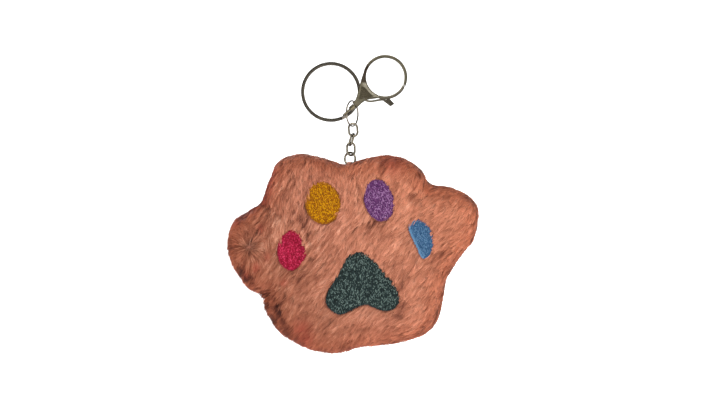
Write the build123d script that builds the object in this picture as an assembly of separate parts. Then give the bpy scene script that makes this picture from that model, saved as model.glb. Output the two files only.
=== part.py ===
from build123d import *
import os
from math import atan2, cos, pi, radians, sin

# A plush paw on a short chain, hanging from a split ring that also carries a lobster clasp.
# Frame: origin at the centre of the split ring, +Z up, the paw's embroidered face towards -Y.
# Everything is in millimetres.

# ---------------------------------------------------------------- driving dimensions

GAP = 0.3                    # play between linked rings
FIT = 0.05                   # radial clearance of a running fit

RING_OD = 30.0               # split ring, outside diameter
RING_BAND = 1.7              # width of its flat wire, seen face on
RING_TURN = 1.05             # thickness of one turn
RING_AIR = 0.12              # air between the two turns
RING_JOG_ANGLE = -62.0       # where the wire steps from one turn to the other
RING_JOG_SPAN = 16.0         # arc that the step takes, in degrees

UPPER_CENTRE = Vector(10.6, 0, -10.75)
UPPER_RADIUS = 6.35          # to the middle of the wire
UPPER_WIRE = 0.4             # wire radius
UPPER_YAW = 63.5             # turn of the ring's axis from -Y, about Z
UPPER_JOINT = 118.0          # open joint of the ring, degrees from its top
BUTT_GAP = 2.0               # degrees of open joint in a jump ring

LINK_LENGTH = 7.4            # chain link, outside
LINK_WIDTH = 5.5
LINK_WIRE = 0.55             # wire radius
LINK_YAWS = (14.0, 106.0, 30.0)
LINK_SHIFTS = (0.2, -0.15, 0.55)     # how far each link hangs to +X of the one above
LINK_LEANS = (5.0, -17.0, 1.0)       # lean of each link from plumb, degrees
LOWER_OD = 7.4               # lower jump ring
LOWER_YAW = -34.0
LOWER_JOINT = 75.0
LOWER_SHIFT = -0.5

HOOK_CENTRE = Vector(27.0, -5.6, 7.0)
HOOK_AXIS_ANGLE = 42.6       # rise of the clasp's axis above +X
HOOK_OUTER = 11.0
HOOK_INNER = 9.5
HOOK_THICK = 2.6             # thickness of the hoop
BODY_THICK = 3.4             # thickness of the clasp's body
NECK_END = -20.6             # foot of the clasp's neck
BODY_MARGIN = 0.35           # step between the hoop's face and the raised body
RECESS_DEPTH = 0.35          # sunk panel on each face of the body
SLOT_THICK = 1.9             # slot that the gate turns in
GATE_THICK = 1.6
GATE_TIP_ANGLE = 18.0        # where the gate meets the hook's nose, on the outside
GATE_ROOT_ANGLE = -62.0      # where the gate's arc leaves the body
NOSE_AIR = 0.24              # air in the slanting joint between the gate and the nose
NOSE_ROOT = 60.0             # the nose is the part of the hook before this angle
HOOK_ROOT = 268.0            # where the hook's arc has run into the body
GATE_CHEEK_ANGLE = -34.0     # the gate is as thick as the hoop from here to its tip
GATE_HUB = 1.2
THUMB_TAB = (11.2, -6.9)     # thumb tab of the gate, its middle, size and turn
THUMB_SIZE = (2.6, 2.1)
THUMB_TURN = 8.0
PIVOT = (0.6, -15.0)         # gate pivot in the clasp's own plane
PIN_RADIUS = 0.4
PIN_SINK = 0.3               # the pin's ends lie this far below the body's faces
SPRING_WIRE = 0.11           # wire radius of the gate spring
SPRING_LEVELS = (-0.75, -0.54, -0.33)
SPRING_LEG = 1.5
POST_RADIUS = 0.6            # swivel post
POST_BORE = (-19.6, 2.4)     # bore through the neck, its middle and length
HEAD_ROOM = (-18.0, 1.15, 1.4)       # room for the post's head: middle, radius, length
HEAD = (-17.95, 1.0, 0.8)            # head: middle, radius, length
COLLAR_TOP = -20.75
COLLAR_RADIUS = 1.25
COLLAR_ROUND = 0.35
EYE_AT = -25.9               # centre of the swivel's loop along the clasp's axis
EYE_MAJOR = 2.1
EYE_WIRE = 0.55

PAW_HALF = 14.0              # half the paw's thickness
PAW_ROUND = 9.0              # rounding of its rim
PILE = 3.5                   # backing cloth and pile together
SEAM = 0.8                   # seam allowance line
PAD_THICK = 1.5
PAD_SINK = 0.6               # how far the embroidery lies below the pile
STABILISER_THICK = 0.5       # backing behind the embroidery
STABILISER_INSET = 8.0       # how far it stays inside the stuffing's rim
TAPE_WIDTH = 2.4
TAPE_THICK = 0.5
TAPE_REACH = 9.0             # how far the tape's legs run below the ring
TAPE_PLAY = 0.7              # air between the ring's wire and the tape
TACK_RISE = 1.6              # height of the bar tack above the ends of the tape
TACK_THICK = 0.9
TACK_OVERHANG = 0.6          # how far the tack runs past the tape on each side
CLOSING_X = (-6.0, 26.0)     # turning gap in the bottom edge
CLOSING_Z = (-132.0, -118.0)
CLOSING_PITCH = 3.2
CLOSING_FILL = 0.62          # part of the pitch that one stitch takes

os.makedirs("parts", exist_ok=True)


# ---------------------------------------------------------------- helpers

def heading(angle):
    """Unit vector in the XZ plane at an angle above +X."""
    return Vector(cos(radians(angle)), 0, sin(radians(angle)))


def facing(yaw):
    """Horizontal unit vector, -Y turned by yaw about Z."""
    return Vector(sin(radians(yaw)), -cos(radians(yaw)), 0)


def wire_ring(centre, normal, radius, wire, joint):
    """Upright round wire ring with an open joint of BUTT_GAP degrees, joint degrees from its top."""
    plane = Plane(origin=centre, x_dir=(0, 0, 1), z_dir=normal)
    reach = radius + 3 * wire
    width = 2 * radius * sin(radians(BUTT_GAP) / 2)
    cutter = Pos(reach / 2, 0, 0) * Box(reach, width, 4 * wire)
    ring = Torus(radius, wire) - Rot(0, 0, joint) * cutter
    return plane.location * ring


def oval_link(top, bottom, normal, width, wire):
    """Chain link of round wire between the wire centres at its top and bottom."""
    along = (top - bottom).normalized()
    centre = (top + bottom) * 0.5
    plane = Plane(origin=centre, x_dir=along, z_dir=normal)
    bend = width / 2 - wire
    straight = (top - bottom).length / 2 - bend
    path = SlotCenterToCenter(2 * straight, 2 * bend).wire()
    start = path.vertices()[0]
    tangent = path.edges().sort_by_distance(start)[0] % 0
    section = Plane(origin=Vector(start.X, start.Y, 0), z_dir=tangent) * Circle(wire)
    return plane.location * sweep(section, path=path)


def save(name, shape):
    export_step(shape, f"parts/{name}.step")


# ---------------------------------------------------------------- split ring

def split_ring():
    """Two turns of flat wire with air between them, joined by one slanting step."""
    outer = RING_OD / 2
    inner = outer - RING_BAND
    total = 2 * RING_TURN + RING_AIR
    half_total = total / 2
    lower_top = RING_TURN - half_total
    reach = (outer + inner) / 2 * sin(radians(RING_JOG_SPAN / 2))
    beyond = half_total + 1
    band = Cylinder(outer, total) - Cylinder(inner, 2 * total)
    step_zone = Pos(outer, 0, 0) * Box(2 * outer, 2 * reach, 2 * total)
    above = Polygon(
        (-reach, lower_top), (reach, half_total), (reach, beyond), (-reach, beyond), align=None)
    below = Polygon(
        (-reach, -half_total), (-reach, -beyond), (reach, -beyond), (reach, -lower_top), align=None)
    ring = band - (Cylinder(outer + 1, RING_AIR) - step_zone)
    for cut in (above, below):
        ring -= extrude(Plane.YZ * cut, 2 * outer)
    plane = Plane(origin=(0, 0, 0), x_dir=heading(RING_JOG_ANGLE), z_dir=(0, -1, 0))
    return plane.location * ring


# ---------------------------------------------------------------- chain

upper_normal = facing(UPPER_YAW)
upper_side = upper_normal.cross(Vector(0, 0, 1))
upper_bottom = UPPER_CENTRE - Vector(0, 0, UPPER_RADIUS)
bend_to_bend = LINK_LENGTH - 2 * LINK_WIRE
lift = 2 * LINK_WIRE + GAP


def chain_points():
    """Wire centres at the top and bottom of each link, from the upper ring down."""
    points = []
    above = upper_bottom
    rise = UPPER_WIRE + LINK_WIRE + GAP
    for shift, lean in zip(LINK_SHIFTS, LINK_LEANS):
        top = above + Vector(shift, 0, rise)
        bottom = top + Vector(sin(radians(lean)), 0, -cos(radians(lean))) * bend_to_bend
        points.append((top, bottom))
        above = bottom
        rise = lift
    return points


links = chain_points()
lower_radius = LOWER_OD / 2 - LINK_WIRE
lower_top = links[-1][1] + Vector(LOWER_SHIFT, 0, lift)
lower_centre = lower_top - Vector(0, 0, lower_radius)
lower_bottom = lower_centre - Vector(0, 0, lower_radius)


def upper_jump_ring():
    return wire_ring(UPPER_CENTRE, upper_normal, UPPER_RADIUS, UPPER_WIRE, UPPER_JOINT)


def lower_jump_ring():
    return wire_ring(lower_centre, facing(LOWER_YAW), lower_radius, LINK_WIRE, LOWER_JOINT)


def chain_link(index):
    top, bottom = links[index]
    along = (top - bottom).normalized()
    side = facing(LINK_YAWS[index]).cross(along).normalized()
    return oval_link(top, bottom, along.cross(side), LINK_WIDTH, LINK_WIRE)


# ---------------------------------------------------------------- lobster clasp
# Drawn in its own plane: the hoop's centre is (0, 0) and the swivel lies along -y.

hook_along = heading(HOOK_AXIS_ANGLE)
hook_right = Vector(hook_along.Z, 0, -hook_along.X)
hook_plane = Plane(origin=HOOK_CENTRE, x_dir=hook_right, z_dir=(0, -1, 0))


def polar(radius, angle):
    return (radius * cos(radians(angle)), radius * sin(radians(angle)))


def arc_band(inner, outer, start, end):
    """Flat ring sector from start to end degrees, anticlockwise."""
    middle = (start + end) / 2
    outline = Line(polar(inner, start), polar(outer, start))
    outline += ThreePointArc(polar(outer, start), polar(outer, middle), polar(outer, end))
    outline += Line(polar(outer, end), polar(inner, end))
    outline += ThreePointArc(polar(inner, end), polar(inner, middle), polar(inner, start))
    return make_face(outline)


def slab(face, thickness):
    return extrude(face, thickness / 2, both=True)


def bar(x, y, z, radius, length, direction):
    """Round bar centred at a point of the clasp's plane."""
    return Plane(origin=(x, y, z), z_dir=direction).location * Cylinder(radius, length)


def clasp_profile(margin=0.0):
    """Triangular body between the hoop and the neck, its sides drawn in by margin."""
    left_points = ((-9.6, -4.4), (-8.3, -7.6), (-6.1, -11.2), (-3.7, -15.0), (-1.7, -18.4))
    right_points = ((1.7, -18.4), (1.9, -15.2), (3.4, -11.7), (5.6, -9.0))
    left = [(x + margin, y) for x, y in left_points]
    right = [(x - margin, y) for x, y in right_points]
    foot = NECK_END + margin
    outline = Spline(*left) + Line(left[-1], (left[-1][0], foot))
    outline += Line((left[-1][0], foot), (right[0][0], foot)) + Line((right[0][0], foot), right[0])
    outline += Spline(*right) + Line(right[-1], left[0])
    return make_face(outline)


def recess_profile():
    """Sunk panel on each face of the body."""
    outline = Spline((-4.6, -11.8), (-1.8, -10.9), (1.6, -10.9), (3.4, -10.2))
    outline += Line((3.4, -10.2), (1.0, -15.0)) + Line((1.0, -15.0), (-0.7, -17.0))
    outline += Line((-0.7, -17.0), (-4.6, -11.8))
    return make_face(outline)


def on_both_faces(face, depth, thickness):
    """Cutter that sinks a face outline by depth into both sides of a plate."""
    cutter = slab(face, 2 * depth)
    return Pos(0, 0, thickness / 2) * cutter + Pos(0, 0, -thickness / 2) * cutter


def tip_swing(margin):
    """Disc about the gate's pivot that its tip would sweep, larger all round by margin."""
    tip = Vector(*polar(HOOK_OUTER, GATE_TIP_ANGLE)) - Vector(*PIVOT)
    return Pos(*PIVOT) * Circle(tip.length + margin)


def clasp_body():
    hook = arc_band(HOOK_INNER, HOOK_OUTER, NOSE_ROOT, HOOK_ROOT)
    nose = arc_band(HOOK_INNER, HOOK_OUTER, 0, NOSE_ROOT) - tip_swing(NOSE_AIR)
    flat = hook + nose + clasp_profile() - Circle(HOOK_INNER)
    raised = clasp_profile(BODY_MARGIN) - Circle(HOOK_INNER + 1.5 * BODY_MARGIN)
    body = slab(flat, HOOK_THICK) + slab(raised, BODY_THICK)
    body -= on_both_faces(recess_profile(), RECESS_DEPTH, BODY_THICK)
    slot = Polygon((-1.6, -17.0), (9.0, -17.0), (9.0, -5.0), (-1.6, -5.0), align=None)
    body -= slab(slot, SLOT_THICK)
    body -= bar(PIVOT[0], PIVOT[1], 0, PIN_RADIUS, BODY_THICK, (0, 0, 1))
    bore_at, bore_length = POST_BORE
    body -= bar(0, bore_at, 0, POST_RADIUS + FIT, bore_length, (0, 1, 0))
    room_at, room_radius, room_length = HEAD_ROOM
    body -= bar(0, room_at, 0, room_radius, room_length, (0, 1, 0))
    return hook_plane.location * body


def strip(points, width):
    """Flat band of constant width along a smooth curve."""
    return trace(Spline(*points), width)


def gate_outline():
    mid = (HOOK_INNER + HOOK_OUTER) / 2
    arc = arc_band(HOOK_INNER, HOOK_OUTER, GATE_ROOT_ANGLE, NOSE_ROOT) & tip_swing(0.0)
    root = polar(mid, GATE_ROOT_ANGLE)
    web = strip((PIVOT, (2.4, -12.6), root), 1.5)
    arm = strip((PIVOT, (3.3, -14.1), (5.4, -11.4), (8.6, -7.6)), 1.0)
    tab = Polygon((8.2, -8.7), (12.5, -7.9), (12.9, -5.6), (8.9, -5.6), align=None)
    hub = Pos(*PIVOT) * Circle(GATE_HUB)
    return arc + web + arm + tab + hub


def clasp_gate():
    gate = slab(gate_outline(), GATE_THICK)
    gate += Pos(*THUMB_TAB, 0) * Rot(0, 0, THUMB_TURN) * Box(*THUMB_SIZE, HOOK_THICK)
    cheeks = arc_band(HOOK_INNER, HOOK_OUTER, GATE_CHEEK_ANGLE, NOSE_ROOT) & tip_swing(0.0)
    gate += slab(cheeks, HOOK_THICK)
    spring_room = Cylinder(GATE_HUB + FIT, GATE_THICK)
    gate -= Pos(PIVOT[0], PIVOT[1], -GATE_THICK / 2) * spring_room
    gate -= bar(PIVOT[0], PIVOT[1], 0, PIN_RADIUS + FIT, 2 * BODY_THICK, (0, 0, 1))
    return hook_plane.location * gate


def gate_pivot_pin():
    pin = bar(PIVOT[0], PIVOT[1], 0, PIN_RADIUS, BODY_THICK - 2 * PIN_SINK, (0, 0, 1))
    return hook_plane.location * pin


def gate_spring():
    """Three turns of fine wire round the pin, with a leg along the slot's wall."""
    turn = PIN_RADIUS + FIT + 1.25 * SPRING_WIRE
    x, y = PIVOT
    spring = bar(x - SPRING_LEG / 2, y - turn, SPRING_LEVELS[1], SPRING_WIRE, SPRING_LEG, (1, 0, 0))
    for level in SPRING_LEVELS:
        spring += Pos(x, y, level) * Torus(turn, SPRING_WIRE)
    return hook_plane.location * spring


def swivel_eye():
    loop = Plane(origin=(0, EYE_AT, 0), z_dir=(1, 0, 0)).location * Torus(EYE_MAJOR, EYE_WIRE)
    near = EYE_AT + EYE_MAJOR
    collar = bar(0, (near + COLLAR_TOP) / 2, 0, COLLAR_RADIUS, COLLAR_TOP - near, (0, 1, 0))
    collar = fillet(collar.edges().filter_by(GeomType.CIRCLE), COLLAR_ROUND)
    head_at, head_radius, head_length = HEAD
    post = bar(0, (near + head_at) / 2, 0, POST_RADIUS, head_at - near, (0, 1, 0))
    head = bar(0, head_at, 0, head_radius, head_length, (0, 1, 0))
    return hook_plane.location * (loop + collar + post + head)


# ---------------------------------------------------------------- paw

# Lobes of the paw's rim, anticlockwise: centre x, centre z, radius, and the radius of
# the hollow that joins the lobe to the next one.
LOBES = (
    (54.5, -67.0, 18.8, 10.0),
    (30.0, -50.0, 18.5, 20.0),
    (-16.0, -48.0, 17.0, 8.0),
    (-32.5, -76.0, 18.5, 8.0),
    (-4.0, -104.0, 26.0, 40.0),
    (31.0, -101.0, 25.5, 30.0),
)


def hollow_centre(first, second):
    """Centre of the arc that touches two neighbouring lobes from outside."""
    start = Vector(first[0], first[1])
    span = Vector(second[0], second[1]) - start
    reach_first = first[2] + first[3]
    reach_second = second[2] + first[3]
    along = (span.length ** 2 + reach_first ** 2 - reach_second ** 2) / (2 * span.length)
    aside = (reach_first ** 2 - along ** 2) ** 0.5
    unit = span.normalized()
    return start + unit * along + Vector(unit.Y, -unit.X) * aside


def arc_between(centre, radius, start, end, turn):
    """Arc about centre from one direction to another; turn is 1 anticlockwise, -1 clockwise."""
    first = atan2(start.Y, start.X)
    sweep_angle = (turn * (atan2(end.Y, end.X) - first)) % (2 * pi)
    angles = (first, first + turn * sweep_angle / 2, first + turn * sweep_angle)
    return ThreePointArc(*[centre + Vector(cos(a), sin(a)) * radius for a in angles])


def rim(inset=0.0):
    """Rim of the paw, drawn in all round by inset."""
    count = len(LOBES)
    hollows = [hollow_centre(LOBES[i], LOBES[(i + 1) % count]) for i in range(count)]
    outline = Curve()
    for i, (x, z, radius, hollow) in enumerate(LOBES):
        centre = Vector(x, z)
        following = Vector(*LOBES[(i + 1) % count][:2])
        outline += arc_between(
            centre, radius - inset, hollows[i - 1] - centre, hollows[i] - centre, 1)
        outline += arc_between(
            hollows[i], hollow + inset, centre - hollows[i], following - hollows[i], -1)
    return make_face(outline)


def rounded_slab(inset):
    """Paw form reaching from the seam plane to the face, smaller all round by inset."""
    body = extrude(rim(inset), PAW_HALF - inset)
    face = body.faces().sort_by(Axis.Z)[-1]
    return fillet(face.edges(), PAW_ROUND - inset / 2)


def on_front(shape):
    """From the drawing plane (x, z) to the paw, with height towards -Y."""
    return Plane.XZ.location * shape


def on_back(shape):
    return mirror(on_front(shape), about=Plane.XZ)


def pad_ellipse(x, z, half_width, half_height, tilt):
    return Pos(x, z) * Rot(0, 0, tilt) * Ellipse(half_width, half_height)


def pad_blue_outline():
    """Ellipse with its inner side cut flatter."""
    whole = pad_ellipse(44.3, -73.0, 5.8, 10.2, 21)
    trim = Pos(44.3, -73.0) * Rot(0, 0, 21) * Pos(-9.0, 0) * Rectangle(9.0, 30.0)
    return whole - trim


def palm_outline():
    """Rounded triangle with a shallow notch in its lower edge."""
    return make_face(Spline(
        (14.2, -79.7), (20.5, -84.0), (29.5, -93.0), (34.3, -101.5), (31.5, -107.4),
        (25.5, -108.8), (16.5, -105.8), (9.0, -108.6), (3.8, -110.6), (-1.2, -107.4),
        (-2.0, -101.5), (4.0, -91.0), (8.6, -82.5), periodic=True))


PADS = {
    "toe_pad_pink": pad_ellipse(-19.6, -78.6, 7.1, 10.1, 2),
    "toe_pad_yellow": pad_ellipse(-4.0, -55.6, 8.5, 10.4, 10),
    "toe_pad_purple": pad_ellipse(23.9, -54.1, 7.3, 10.6, 14),
    "toe_pad_blue": pad_blue_outline(),
    "palm_pad": palm_outline(),
}


def frame_of_tape():
    """Across the ring's wire: x along the wire, y up."""
    along = facing(LOWER_YAW).cross(Vector(0, 0, 1))
    return Plane(origin=lower_bottom, x_dir=Vector(0, 0, 1).cross(along), z_dir=along)


def loop_tape():
    """Tape over the ring's lowest wire, with both legs running down into the seam."""
    inner = LINK_WIRE + TAPE_PLAY
    outer = inner + TAPE_THICK
    section = Circle(outer) - Circle(inner)
    section -= Pos(0, -outer) * Rectangle(4 * outer, 2 * outer)
    for side in (-1, 1):
        leg = Pos(side * (inner + outer) / 2, -TAPE_REACH / 2) * Rectangle(TAPE_THICK, TAPE_REACH)
        section += leg
    return frame_of_tape().location * slab(section, TAPE_WIDTH)


def tape_slot():
    """Way through the pile for the tape and the bottom of the ring."""
    half = LINK_WIRE + TAPE_PLAY + TAPE_THICK
    section = Pos(0, -TAPE_REACH / 2) * Rectangle(2 * half, TAPE_REACH)
    return frame_of_tape().location * slab(section, TAPE_WIDTH)


def loop_bar_tack():
    """Dense bar of stitches through both legs of the tape, just inside the seam."""
    outer = LINK_WIRE + TAPE_PLAY + TAPE_THICK
    across = 2 * (outer + TACK_OVERHANG)
    block = Box(across, TACK_THICK, TAPE_WIDTH - TACK_OVERHANG)
    return frame_of_tape().location * Pos(0, TACK_RISE - TAPE_REACH, 0) * block


def seam_line(inner_inset, outer_inset):
    ring = rim(outer_inset) - rim(inner_inset)
    return Plane.XZ.location * slab(ring, SEAM)


def seam_block(low, high):
    """Box about the bottom of the seam, between two places along X."""
    deep, shallow = CLOSING_Z
    centre = Pos((low + high) / 2, 0, (deep + shallow) / 2)
    return centre * Box(high - low, 4 * SEAM, shallow - deep)


def closing_stitches(line):
    """Short hand stitches, one beside the other, along the turning gap."""
    low, high = CLOSING_X
    stitches = []
    for i in range(int((high - low) / CLOSING_PITCH)):
        start = low + i * CLOSING_PITCH
        stitches.append(line & seam_block(start, start + CLOSING_FILL * CLOSING_PITCH))
    return stitches


# ---------------------------------------------------------------- assembly

def build_paw():
    outer = rounded_slab(0.0)
    inner = rounded_slab(PILE)
    pad_floor = Pos(0, 0, PAW_HALF - PAD_SINK - PAD_THICK)
    wells = [on_front(pad_floor * extrude(face, PAW_HALF)) for face in PADS.values()]
    tack = loop_bar_tack()
    tape = loop_tape() - tack
    slot = tape_slot()
    line = seam_line(PILE + SEAM, PILE)
    thread = line - seam_block(*CLOSING_X) - slot
    front = on_front(outer - inner) - wells - slot - tack
    back = on_back(outer - inner) - slot - tack
    backing_floor = Pos(0, 0, PAW_HALF - PILE - STABILISER_THICK)
    backing_face = rim(PILE + STABILISER_INSET)
    backing = on_front(backing_floor * extrude(backing_face, STABILISER_THICK))
    fill = on_front(inner) + on_back(inner)
    fill = fill - backing - line - slot - tack
    save("front_panel", front)
    save("back_panel", back)
    save("stuffing", fill)
    save("seam_thread", thread)
    save("closing_stitches", Compound(closing_stitches(line)))
    save("loop_tape", tape)
    save("loop_bar_tack", tack)
    save("embroidery_stabiliser", backing)
    for name, face in PADS.items():
        save(name, on_front(pad_floor * extrude(face, PAD_THICK)))


def build_hardware():
    save("split_ring", split_ring())
    save("upper_jump_ring", upper_jump_ring())
    save("lower_jump_ring", lower_jump_ring())
    for index in range(len(links)):
        save(f"chain_link_{index + 1}", chain_link(index))
    save("swivel_eye", swivel_eye())
    save("clasp_body", clasp_body())
    save("clasp_gate", clasp_gate())
    save("gate_pivot_pin", gate_pivot_pin())
    save("gate_spring", gate_spring())


build_hardware()
build_paw()
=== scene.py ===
import math

import bpy
import numpy as np
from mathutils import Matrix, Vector, kdtree


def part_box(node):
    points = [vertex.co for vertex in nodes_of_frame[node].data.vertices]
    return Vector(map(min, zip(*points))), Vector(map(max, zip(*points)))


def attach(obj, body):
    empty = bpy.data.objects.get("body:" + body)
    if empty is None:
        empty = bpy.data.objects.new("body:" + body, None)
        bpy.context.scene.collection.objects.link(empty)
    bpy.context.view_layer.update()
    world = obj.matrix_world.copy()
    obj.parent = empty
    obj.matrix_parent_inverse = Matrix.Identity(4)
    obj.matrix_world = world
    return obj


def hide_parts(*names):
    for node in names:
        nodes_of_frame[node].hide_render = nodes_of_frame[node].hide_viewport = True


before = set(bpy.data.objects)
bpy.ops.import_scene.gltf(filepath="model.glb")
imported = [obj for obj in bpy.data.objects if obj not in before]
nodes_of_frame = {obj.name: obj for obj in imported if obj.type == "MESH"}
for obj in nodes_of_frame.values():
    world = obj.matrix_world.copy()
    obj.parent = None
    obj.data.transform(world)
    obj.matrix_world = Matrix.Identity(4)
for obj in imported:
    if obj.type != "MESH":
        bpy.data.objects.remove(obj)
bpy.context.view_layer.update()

MM = 0.001
rng = np.random.default_rng(20)

# ---------------------------------------------------------------- small helpers


def srgb(r, g, b):
    """0-255 display colour to the linear values that shaders take."""
    c = np.array([r, g, b], float) / 255
    return np.where(c <= 0.04045, c / 12.92, ((c + 0.055) / 1.055) ** 2.4)


def unit(v):
    return v / np.maximum(np.linalg.norm(v, axis=-1, keepdims=True), 1e-12)


def noise2(x, z, size, seed):
    """Smooth value noise from -1 to 1 over the paw's face."""
    table = np.random.default_rng(seed).random((97, 97)) * 2 - 1
    u = np.asarray(x) / size + 480.3
    v = np.asarray(z) / size + 480.7
    i = np.floor(u).astype(int)
    j = np.floor(v).astype(int)
    fu = u - i
    fv = v - j
    fu = fu * fu * (3 - 2 * fu)
    fv = fv * fv * (3 - 2 * fv)
    a = table[i % 97, j % 97]
    b = table[(i + 1) % 97, j % 97]
    c = table[i % 97, (j + 1) % 97]
    d = table[(i + 1) % 97, (j + 1) % 97]
    return (a * (1 - fu) + b * fu) * (1 - fv) + (c * (1 - fu) + d * fu) * fv


def new_object(name, verts_mm, faces, material, smooth=True):
    """Mesh object from an array of points in mm and an array of quads or triangles."""
    verts = np.asarray(verts_mm, dtype=np.float32) * MM
    mesh = bpy.data.meshes.new(name)
    if isinstance(faces, np.ndarray):
        count, corners = faces.shape
        mesh.vertices.add(len(verts))
        mesh.vertices.foreach_set("co", verts.ravel())
        mesh.loops.add(count * corners)
        mesh.loops.foreach_set("vertex_index", faces.ravel().astype(np.int32))
        mesh.polygons.add(count)
        mesh.polygons.foreach_set("loop_start", np.arange(0, count * corners, corners, dtype=np.int32))
        mesh.update(calc_edges=True)
    else:
        mesh.from_pydata(verts.tolist(), [], faces)
    mesh.validate()
    mesh.polygons.foreach_set("use_smooth", [smooth] * len(mesh.polygons))
    mesh.materials.append(material)
    obj = bpy.data.objects.new(name, mesh)
    bpy.context.scene.collection.objects.link(obj)
    return obj


def ring_quads(rings, around):
    """Quads between rings of points, each ring closed and of the same count."""
    k = np.arange(around)
    following = (k + 1) % around
    rows = [np.stack([r * around + k, r * around + following,
                      (r + 1) * around + following, (r + 1) * around + k], axis=1)
            for r in range(rings - 1)]
    return np.concatenate(rows)


def set_colours(obj, colours):
    """One linear colour per vertex, in an attribute that the material reads."""
    layer = obj.data.color_attributes.new("Tone", "FLOAT_COLOR", "POINT")
    rgba = np.ones((len(colours), 4), dtype=np.float32)
    rgba[:, :3] = colours
    layer.data.foreach_set("color", rgba.ravel())


def set_bake_map(obj, verts_mm):
    """Flat map of the face for meshes too fine to unwrap."""
    layer = obj.data.uv_layers.new(name="OFBake")
    index = np.zeros(len(obj.data.loops), dtype=np.int32)
    obj.data.loops.foreach_get("vertex_index", index)
    low = verts_mm.min(axis=0)
    span = max(verts_mm.max(axis=0) - low)
    flat = (verts_mm[index][:, (0, 2)] - low[[0, 2]]) / span * 0.98 + 0.01
    layer.data.foreach_set("uv", flat.astype(np.float32).ravel())


# ---------------------------------------------------------------- materials

def material(name):
    mat = bpy.data.materials.new(name)
    mat.use_nodes = True
    shader = mat.node_tree.nodes["Principled BSDF"]
    return mat, mat.node_tree.nodes, mat.node_tree.links, shader


def ramp(tree_nodes, stops):
    node = tree_nodes.new("ShaderNodeValToRGB")
    while len(node.color_ramp.elements) < len(stops):
        node.color_ramp.elements.new(0.5)
    for element, (at, colour) in zip(node.color_ramp.elements, stops):
        element.position = at
        element.color = (*colour, 1)
    return node


def painted(nodes, links, shader, value, stops, rough):
    """Colour by a value, on a surface of one roughness."""
    colours = ramp(nodes, stops)
    links.new(value, colours.inputs["Fac"])
    links.new(colours.outputs["Color"], shader.inputs["Base Color"])
    shader.inputs["Roughness"].default_value = rough


def noise_node(nodes, links, scale, detail=3.0, rough=0.55):
    coords = nodes.new("ShaderNodeTexCoord")
    noise = nodes.new("ShaderNodeTexNoise")
    noise.inputs["Scale"].default_value = scale
    noise.inputs["Detail"].default_value = detail
    noise.inputs["Roughness"].default_value = rough
    links.new(coords.outputs["Object"], noise.inputs["Vector"])
    return noise


def bump_from(nodes, links, shader, height, strength, distance):
    bump = nodes.new("ShaderNodeBump")
    bump.inputs["Strength"].default_value = strength
    bump.inputs["Distance"].default_value = distance
    links.new(height, bump.inputs["Height"])
    links.new(bump.outputs["Normal"], shader.inputs["Normal"])


def range_node(nodes, links, value, low, high, out_low=0.0, out_high=1.0):
    """Value moved from one range to another, held at its ends."""
    node = nodes.new("ShaderNodeMapRange")
    node.inputs["From Min"].default_value = low
    node.inputs["From Max"].default_value = high
    node.inputs["To Min"].default_value = out_low
    node.inputs["To Max"].default_value = out_high
    links.new(value, node.inputs["Value"])
    return node.outputs["Result"]


def math_node(nodes, links, operation, first, second):
    """Two values put together; each is a socket or a number."""
    node = nodes.new("ShaderNodeMath")
    node.operation = operation
    for value, socket in ((first, node.inputs[0]), (second, node.inputs[1])):
        if isinstance(value, (int, float)):
            socket.default_value = value
        else:
            links.new(value, socket)
    return node.outputs["Value"]


def vector_node(nodes, links, operation, first, second=None, output="Vector"):
    """Vectors put together; the second is a fixed vector, a socket or nothing."""
    node = nodes.new("ShaderNodeVectorMath")
    node.operation = operation
    links.new(first, node.inputs[0])
    if isinstance(second, tuple):
        node.inputs[1].default_value = second
    elif second is not None:
        links.new(second, node.inputs[1])
    return node.outputs[output]


def scaled(nodes, links, colour, gain):
    return vector_node(nodes, links, "MULTIPLY", colour, gain)


def blended(nodes, links, share, first, second):
    """Mix of a colour socket and a fixed colour by a share socket."""
    mix = nodes.new("ShaderNodeMix")
    mix.data_type = "RGBA"
    links.new(share, mix.inputs[0])
    links.new(first, mix.inputs[6])
    mix.inputs[7].default_value = (*second, 1)
    return mix.outputs[2]


def toned_fibre(name, rough, sheen, sheen_rough, fine_scale, spread, specular):
    """Fibre whose colour comes from its own vertex tone, varied a little along the thread."""
    mat, nodes, links, shader = material(name)
    tone = nodes.new("ShaderNodeVertexColor")
    tone.layer_name = "Tone"
    noise = noise_node(nodes, links, fine_scale)
    gain = range_node(nodes, links, noise.outputs["Fac"], 0.0, 1.0, 1.0 - spread, 1.0 + spread)
    links.new(scaled(nodes, links, tone.outputs["Color"], gain), shader.inputs["Base Color"])
    shader.inputs["Roughness"].default_value = rough
    shader.inputs["Sheen Weight"].default_value = sheen
    shader.inputs["Sheen Roughness"].default_value = sheen_rough
    shader.inputs["Specular IOR Level"].default_value = specular
    return mat


# Painted shade: plated metal is painted darker where it faces this way and lighter where it faces away.
PAINTED_SHADE_WAY = (-0.85, 0.0, 0.5)      # the way towards which plated metal is shaded


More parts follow.
